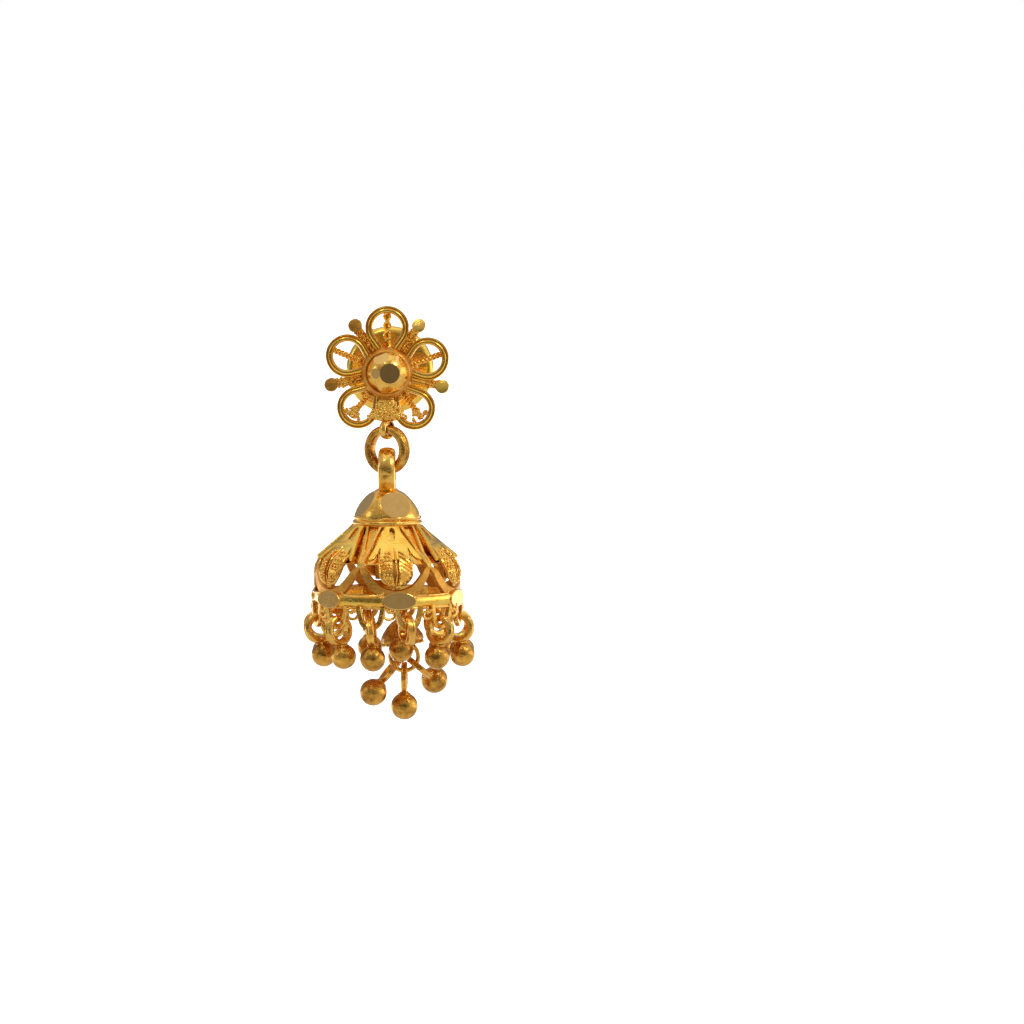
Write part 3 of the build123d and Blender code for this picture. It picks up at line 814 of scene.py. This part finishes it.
def leaf(index, azimuth, hatched):
    """One leaf: fan, tongue with its rim and middle bar, satin frame below and edge strips above."""
    piece = Piece(f"bell_leaf_{index + 1}", "drop", "facet_gold")
    outline = [(x, down_slope(y)) for x, y in mirrored(FAN_HALF)]
    slot = [(x, down_slope(y)) for x, y in mirrored(FAN_SLOT)]
    fan = plate((outline, slot), 0.24, 0.035)
    piece.add(fan, fan_place(azimuth) @ Matrix.Translation((0, 0, 0.06)), IS_BRIGHT)
    for x, top in FAN_RIDGES:
        start = fan_place(azimuth) @ Vector((x * 0.8, down_slope(top), 0.17))
        end = fan_place(azimuth) @ Vector((x, down_slope(FAN_RIDGES_FOOT), 0.2))
        piece.add(wire([start, start.lerp(end, 0.5), end], 0.055, 6), finish=IS_GRAINED)
    for side in (-1, 1):
        tongue_lobe(azimuth, side, piece, IS_GRAINED)
        # Thin rim down the edge of the tongue and round its foot
        rim = [on_tongue(azimuth, side, y / 20, 0.02) for y in range(18, -20, -2)]
        piece.add(wire([*rim, on_tongue(azimuth, 0, -1, 0)], 0.085, 6), finish=IS_POLISHED)
        # Satin frame below, and the edge strips above it
        frame_path = (
            (side * 2.34, -12.95, 0.02, 0.3), (side * 2.1, -13.3, 0.04, 0.5), (side * 1.72, -13.85, 0.06, 0.62),
            (side * 1.15, -14.4, 0.08, 0.68), (side * 0.4, -14.68, 0.1, 0.7), (0.0, -14.72, 0.1, 0.7),
        )
        strip_on_cage(azimuth, frame_path, FLAT_SECTION, IS_SATIN, piece)
        edge_path = (
            (side * 0.66, -10.3, 0.0, 0.26), (side * 1.12, -11.0, 0.0, 0.26), (side * 1.66, -11.9, 0.02, 0.28),
            (side * 2.14, -12.5, 0.02, 0.3), (side * 2.4, -12.98, 0.02, 0.32),
        )
        strip_on_cage(azimuth, edge_path, EDGE_SECTION, IS_POLISHED, piece)
    bar = [on_tongue(azimuth, 0.02, y / 10, -0.04) for y in range(12, -10, -1)]
    piece.add(wire(bar, 0.065, 6), finish=IS_POLISHED)
    # The slit beside the bar has a floor.
    floor_path = [(0.0, -12.1, -0.1, 0.6), (0.0, -13.2, -0.05, 0.6), (0.0, -14.3, 0.0, 0.5)]
    strip_on_cage(azimuth, floor_path, FLAT_SECTION, IS_SATIN, piece)
    # Rows of grains cover both halves of the tongue, or hatching the right one.
    spots = []
    for side in (-1, 1):
        if hatched and side == 1:
            for step in range(8):
                high = 0.95 - step * 0.24
                reaches = (0.25, 0.5, 0.72, 0.92)
                hatch = [on_tongue(azimuth, x, high - (x - 0.25) * 0.5, 0.02) for x in reaches]
                piece.add(wire(hatch, 0.085, 6), finish=IS_POLISHED)
            continue
        for row in range(10):
            y = 0.86 - row * 0.19
            x = 0.32 + (row % 2) * 0.1
            while x < 0.95:
                spots.append((on_tongue(azimuth, side * x, y, 0.02), random.uniform(0.095, 0.13)))
                x += 0.21
    piece.grains(spots, IS_GRAINED)
    piece.done()


# A thin cone closes the upper part of the cage behind the leaves.
lining = Piece("bell_lining", "drop", "grained_gold")
CONE_PROFILE = (
    (2.0, -10.2), (2.08, -10.35), (2.62, -11.0), (3.4, -11.95), (4.1, -12.55), (4.2, -12.66), (4.1, -12.72),
    (3.98, -12.66), (3.28, -12.06), (2.5, -11.1), (1.9, -10.4), (1.86, -10.2),
)
lining.add(turned(CONE_PROFILE, 72, closed=True), plumb, IS_GRAINED)
lining.done()

# The leaves stand a little to one side of the shields, and every third has hatching.
LEAF_SIDESTEP = -2
for index in range(LEAF_COUNT):
    leaf(index, LEAF_TURN + LEAF_SIDESTEP + index * LEAF_STEP, hatched=index % 3 == 0)

# -------------------------------- the band and its loops

BAND_CORNERS = [LEAF_TURN + index * LEAF_STEP + side * 13 for index in range(LEAF_COUNT) for side in (-1, 1)]
# The band's section: radius and height
BAND_SECTION = (
    (4.42, -14.72), (4.7, -14.68), (4.98, -14.72), (5.08, -14.84), (5.1, -14.95), (5.12, -15.42), (5.07, -15.47),
    (5.07, -15.53), (5.12, -15.57), (5.1, -15.65), (4.95, -15.68), (4.6, -15.65), (4.56, -15.45), (4.5, -15.0),
)
# Between these heights the band's walls are bright, down to the softened edge below them.
BRIGHT_TOP = -14.97
BRIGHT_FOOT = -15.43
SHIELD_Z = -15.14
SHIELD_RADIAL = 5.0
SHIELD_HALF_WIDTH = 1.18
SHIELD_RISE = 0.64
SHIELD_FALL = 0.56
SHIELD_OUTLINE = [
    (SHIELD_HALF_WIDTH * cos(radians(turn)), (SHIELD_RISE if turn < 180 else SHIELD_FALL) * sin(radians(turn)))
    for turn in range(0, 360, 12)
]
# How far each shield leans back, the front one first
SHIELD_TILTS = (0.2, -0.04, 0.06, 0.0, -0.05, 0.08)
# A bright lip along the foot of each window, turned up at its ends: distance across, height and how proud
LIP_PATH = (
    (-1.5, -14.4, 0.08), (-1.42, -14.62, 0.14), (-1.1, -14.72, 0.2), (0, -14.74, 0.22), (1.1, -14.72, 0.2),
    (1.42, -14.62, 0.14), (1.5, -14.4, 0.08),
)
band = Piece("bell_band", "drop", "facet_gold")
stations = []
for azimuth in BAND_CORNERS:
    outward, sideways = around(azimuth)
    stations.append(facing((0, HANG_Y, 0), outward, sideways * -1))
# The edges are softened before any face is marked, so that each one's finish is settled by its place.
band_ring = rounded(sweep(stations, BAND_SECTION, closed=True), 0.025, 1, 12)
for face in band_ring.faces:
    if BRIGHT_FOOT < face.calc_center_median().z < BRIGHT_TOP:
        face.material_index = IS_BRIGHT
band.add(band_ring, finish=IS_POLISHED)
for index in range(LEAF_COUNT):
    azimuth = LEAF_TURN + index * LEAF_STEP
    # A taller flat shield under each leaf
    shield = plate((SHIELD_OUTLINE,), 0.2, 0.05)
    for face in shield.faces:
        if face.normal.z > 0.9:
            face.material_index = IS_FACET
    band.add(shield, standing(azimuth, SHIELD_RADIAL, SHIELD_Z, SHIELD_TILTS[index]), IS_POLISHED)
    lip = [on_cage(azimuth + LEAF_STEP / 2, *row) for row in smooth_run(LIP_PATH, 5)]
    band.add(wire(lip, 0.1, 8), finish=IS_POLISHED)
band.done()

# A loop's strap in section, and its path down from the band, round its foot and up again
LOOP_FOOT_Z = LOOP_Z + 0.77
LOOP_SECTION = (
    (0.1, 0.23), (0.16, 0.17), (0.16, -0.08), (0.1, -0.135), (-0.1, -0.135), (-0.16, -0.08), (-0.16, 0.17),
    (-0.1, 0.23),
)
LOOP_PATH = [
    Vector((-0.8, -15.45, 0)), Vector((-0.74, -15.85, 0)),
    *(polar(0.635, turn) + Vector((0, LOOP_FOOT_Z, 0)) for turn in range(190, 351, 16)),
    Vector((0.74, -15.85, 0)), Vector((0.8, -15.45, 0)),
]
# A wire curl fills the space between two loops, facing left and right by turns.
CURL_RADIAL = 4.92
CURL_PATH = (
    (-0.34, -15.6, 0), (-0.46, -15.95, 0.04), (-0.2, -16.32, 0.1), (0.22, -16.24, 0.12), (0.3, -15.94, 0.1),
    (0.02, -15.84, 0.06),
)
CURL_GRAINS = 9
loops = Piece("rim_loops", "drop", "polished_gold")
stations = [
    facing(spot.translation, (0, 0, 1), spot.col[2].to_3d()) for spot in along(LOOP_PATH, (1, 0, 0))
]
for index in range(len(DANGLES)):
    azimuth = DANGLE_START + index * DANGLE_STEP
    loops.add(sweep(stations, LOOP_SECTION), standing(azimuth, LOOP_RADIAL), IS_POLISHED)
    place = standing(azimuth + DANGLE_STEP / 2, CURL_RADIAL)
    side = 1 if index % 2 else -1
    curl = smooth_run([(x * side, y, z) for x, y, z in CURL_PATH], 4)
    loops.add(wire([place @ spot for spot in curl], 0.1, 8), finish=IS_POLISHED)
    spots = []
    for _ in range(CURL_GRAINS):
        spot = Vector((random.uniform(-0.4, 0.4), random.uniform(-15.95, -15.6), 0.14))
        spots.append((place @ spot, random.uniform(0.09, 0.14)))
    loops.grains(spots, IS_GRAINED)
loops.done()

# -------------------------------- the middle wire, its cup and the lowest loop

centre_down = Vector((sin(radians(CENTRE_LEAN)), 0, -cos(radians(CENTRE_LEAN))))
last_loop = Vector((0, HANG_Y, CENTRE_TOP_Z)) + centre_down * CENTRE_LENGTH
middle = Piece("middle_wire_and_cup", "drop", "polished_gold")
up_the_wire = facing(last_loop, (1, 0, 0), centre_down * -1)
for strand in rope(straight((0, 0, 2.4), (0, 0, CENTRE_LENGTH - 0.2), 60), 0.28, 1.1, 2, up=(1, 0, 0)):
    middle.add(strand, up_the_wire, IS_SATIN)
# The cup, open downward: radius, and height above the lowest loop's middle
CUP_PROFILE = (
    (0, 2.75), (0.3, 2.7), (0.34, 2.55), (0.6, 2.42), (0.95, 2.1), (1.25, 1.72), (1.42, 1.42), (1.48, 1.2),
    (1.4, 1.0), (1.22, 0.86), (1.08, 0.82), (1.02, 0.95), (0.95, 1.15), (0.6, 1.3), (0, 1.34),
)
CUP_RIBS = 10
CUP_RIB_DEPTH = 0.035
CUP_GRAINS = 26
cup = turned(CUP_PROFILE, 60)
for vert in cup.verts:
    if vert.co.to_2d().length > 0.5 and vert.co.z > 0.9:
        rib = cos(CUP_RIBS * atan2(vert.co.y, vert.co.x))
        vert.co.x *= 1 - CUP_RIB_DEPTH * (1 - rib)
        vert.co.y *= 1 - CUP_RIB_DEPTH * (1 - rib)
middle.add(cup, up_the_wire, IS_BEAD)
middle.add(wire(straight((0, 0, 0.9), (0, 0, 1.6), 3), 0.22, 12, up=(1, 0, 0)), up_the_wire, IS_SATIN)
lowest = turned([(0.95 + x, y) for x, y in circle(0.15, 12)], 40, closed=True)
middle.add(lowest, facing(last_loop, (1, 0, 0), (0, 1, 0)), IS_POLISHED)
spots = []
for step in range(CUP_GRAINS):
    spot = polar(1.36, step * 360 / CUP_GRAINS, 0.92 + 0.03 * (step % 2))
    spots.append((up_the_wire @ spot, 0.1))
middle.grains(spots, IS_GRAINED)
middle.done()

# -------------------------------- dangles and drops

# A dangle's ring in section: out from its mean radius, and across its width; two soft ridges
DANGLE_SECTION = (
    (-0.2, -0.22), (-0.2, 0.22), (-0.14, 0.28), (-0.02, 0.3), (0.12, 0.28), (0.2, 0.2), (0.205, 0.1), (0.15, 0.03),
    (0.15, -0.03), (0.205, -0.1), (0.2, -0.2), (0.12, -0.28), (-0.02, -0.3), (-0.14, -0.28),
)
SECTION_THICK = 0.41
# The solder between a ring and its bead: radius, and height up from the bead
COLLAR_PROFILE = ((0, -0.1), (0.44, -0.12), (0.4, 0.02), (0.3, 0.1), (0.24, 0.2), (0, 0.22))


def hang_bead(name, hook, down, normal, mean_radius, thick, width_scale, ball_radius, play):
    """A ring with a bead soldered to its foot; the ring's inner edge stands play above the hook."""
    centre = hook + down * (mean_radius - thick / 2 - play)
    bead_middle = centre + down * (mean_radius + thick / 2 + ball_radius - 0.1)
    bead_name = name.replace("rim_dangle", "rim_bead").replace("centre_drop", "low_bead")
    piece = Piece(bead_name, "drop", "bead_gold", (name,))
    section = [(mean_radius + x * thick / SECTION_THICK, y * width_scale) for x, y in DANGLE_SECTION]
    piece.add(turned(section, 40, closed=True), facing(centre, down, normal), IS_POLISHED)
    piece.add(ball(ball_radius, 36, 24), facing(bead_middle, normal, down * -1), IS_BEAD)
    joint = facing(bead_middle - down * ball_radius * 0.9, normal, down * -1)
    piece.add(turned(COLLAR_PROFILE, 24), joint, IS_BEAD)
    spots = [(joint @ polar(0.36, random.uniform(0, 360)), random.uniform(0.07, 0.1)) for _ in range(9)]
    piece.grains(spots, IS_GRAINED)
    piece.done()


for index, (lean_out, lean_side, twist) in enumerate(DANGLES):
    outward, sideways = around(DANGLE_START + index * DANGLE_STEP)
    hook = Vector((0, HANG_Y, LOOP_Z + LOOP_WIRE)) + outward * LOOP_RADIAL
    down = Matrix.Rotation(radians(-lean_out), 3, sideways) @ Vector((0, 0, -1))
    down = Matrix.Rotation(radians(lean_side), 3, outward) @ down
    across = Matrix.Rotation(radians(twist), 3, down) @ sideways
    normal = (across - down * across.dot(down)).normalized()
    hang_bead(
        f"rim_dangle_{index + 1:02d}", hook, down, normal,
        mean_radius=0.825, thick=0.43, width_scale=1.0, ball_radius=0.85, play=0.16,
    )

for name, place, lean, forward in DROPS:
    place, lean, forward = radians(place), radians(lean), radians(forward)
    hook = last_loop + Vector((sin(place), 0, -cos(place))) * 0.8
    down = Vector((sin(lean) * cos(forward), -sin(forward), -cos(lean) * cos(forward)))
    side = Vector((cos(place), 0, sin(place)))
    normal = (side - down * side.dot(down)).normalized()
    hang_bead(
        name, hook, down, normal, mean_radius=0.92, thick=0.38, width_scale=0.7, ball_radius=0.92, play=0.1
    )

# -------------------------------- floor, light and camera


def studio_light(name, place, aim, size, watts, shade=(1, 1, 1)):
    data = bpy.data.lights.new(name, "AREA")
    data.shape = "DISK"
    data.size = size * MM
    data.energy = watts
    data.color = shade
    lamp = bpy.data.objects.new(name, data)
    lamp.location = Vector(place) * MM
    lamp.rotation_euler = (Vector(aim) - Vector(place)).to_track_quat("-Z", "Y").to_euler()
    bpy.context.scene.collection.objects.link(lamp)


# The floor, in metres, lies well below the hanging earring and runs far back.
FLOOR_HALF_SIDE = 4.0
FLOOR_MIDDLE = (0, 3.75, -0.07)
floor_shape = bmesh.new()
bmesh.ops.create_grid(floor_shape, x_segments=1, y_segments=1, size=FLOOR_HALF_SIDE)
bmesh.ops.translate(floor_shape, verts=floor_shape.verts, vec=FLOOR_MIDDLE)
floor_mesh = bpy.data.meshes.new("floor")
floor_shape.to_mesh(floor_mesh)
floor = bpy.data.objects.new("floor", floor_mesh)
bpy.context.scene.collection.objects.link(floor)
paper = bpy.data.materials.new("pale_floor")
paper.use_nodes = True
paper_finish = Finish(paper.node_tree)
paper_shader = paper.node_tree.nodes["Principled BSDF"]
fibres = paper_finish.noise(paper_finish.place(), 60.0, 3.0)
paper_finish.feed(
    paper_shader.inputs["Base Color"], paper_finish.mix(fibres, (0.86, 0.86, 0.86, 1), (0.9, 0.9, 0.9, 1))
)
paper_shader.inputs["Roughness"].default_value = 0.9
paper_shader.inputs["Specular IOR Level"].default_value = 0.0
# The floor glows towards the back, so that it fades into the white behind.
far = paper_finish.node("SeparateXYZ", None, {0: paper_finish.place()}, "Y")
glow = paper_finish.node(
    "MapRange", {"interpolation_type": "SMOOTHSTEP"}, {"Value": far, "From Min": 0.06, "From Max": 0.2}
)
paper_finish.feed(
    paper_shader.inputs["Emission Color"], paper_finish.mix(glow, (0.02, 0.02, 0.02, 1), (1, 1, 1, 1))
)
paper_shader.inputs["Emission Strength"].default_value = 1.0
floor_mesh.materials.append(paper)

# The room: white behind and above, darker towards the front, a bright side on the right
world = bpy.data.worlds.new("room")
bpy.context.scene.world = world
world.use_nodes = True
room = Finish(world.node_tree)
direction = room.node("TexCoord", None, None, "Generated")
side_ways = room.node("SeparateXYZ", None, {0: direction}, "X")
back_ways = room.node("SeparateXYZ", None, {0: direction}, "Y")
upward = room.node("SeparateXYZ", None, {0: direction}, "Z")


def band_of(value, low, high):
    """0 below low, 1 above high, soft between."""
    return room.node(
        "MapRange", {"interpolation_type": "SMOOTHSTEP"}, {"Value": value, "From Min": low, "From Max": high}
    )


behind = band_of(back_ways, -0.25, 0.35)
overhead = band_of(upward, 0.88, 0.96)
right = band_of(side_ways, 0.35, 0.85)
level = band_of(upward, -0.4, -0.25) * (1 - band_of(upward, 0.25, 0.4))
strip = band_of(side_ways, 0.88, 0.97) * level
left = band_of(side_ways * -1.0, 0.7, 1.0)
front_room = 0.13 + band_of(upward, 0.0, 0.7) * 0.36
light = front_room * (1 - behind) + behind * (0.3 + band_of(upward, 0.3, 0.75) * 0.45)
light = light * (1 - overhead) + overhead
light = light + right * (1 - overhead) * 0.4 + strip * 1.4 + left * (1 - behind) * (1 - overhead) * 0.32
seen = room.node("LightPath", None, None, "Is Camera Ray")
strength = light * (1 - seen) + seen * 1.0
room.feed(world.node_tree.nodes["Background"].inputs["Color"], (1, 1, 1, 1))
room.feed(world.node_tree.nodes["Background"].inputs["Strength"], strength)

studio_light("key", (140, -110, 170), (0, -3, -8), 70, 0.075, (1, 0.98, 0.95))
studio_light("fill", (-170, -60, 60), (0, -3, -10), 60, 0.012)
studio_light("top_left", (-60, -120, 190), (0, -3, -8), 40, 0.025)

# Long lens, nearly level, with the earring left of the middle of the frame
AIM = Vector((8.44, HANG_Y, -9.41))
AZIMUTH, ELEVATION, DISTANCE = radians(0.8), radians(3.5), 384.7
camera_data = bpy.data.cameras.new("camera")
camera_data.lens = 200
camera_data.sensor_width = 36
camera_data.clip_start = 0.01
camera = bpy.data.objects.new("camera", camera_data)
back_off = Vector((sin(AZIMUTH) * cos(ELEVATION), -cos(AZIMUTH) * cos(ELEVATION), sin(ELEVATION)))
camera.location = (AIM + back_off * DISTANCE) * MM
camera.rotation_euler = (back_off * -1).to_track_quat("-Z", "Y").to_euler()
bpy.context.scene.collection.objects.link(camera)
bpy.context.scene.camera = camera
bpy.context.scene.view_settings.view_transform = "Standard"
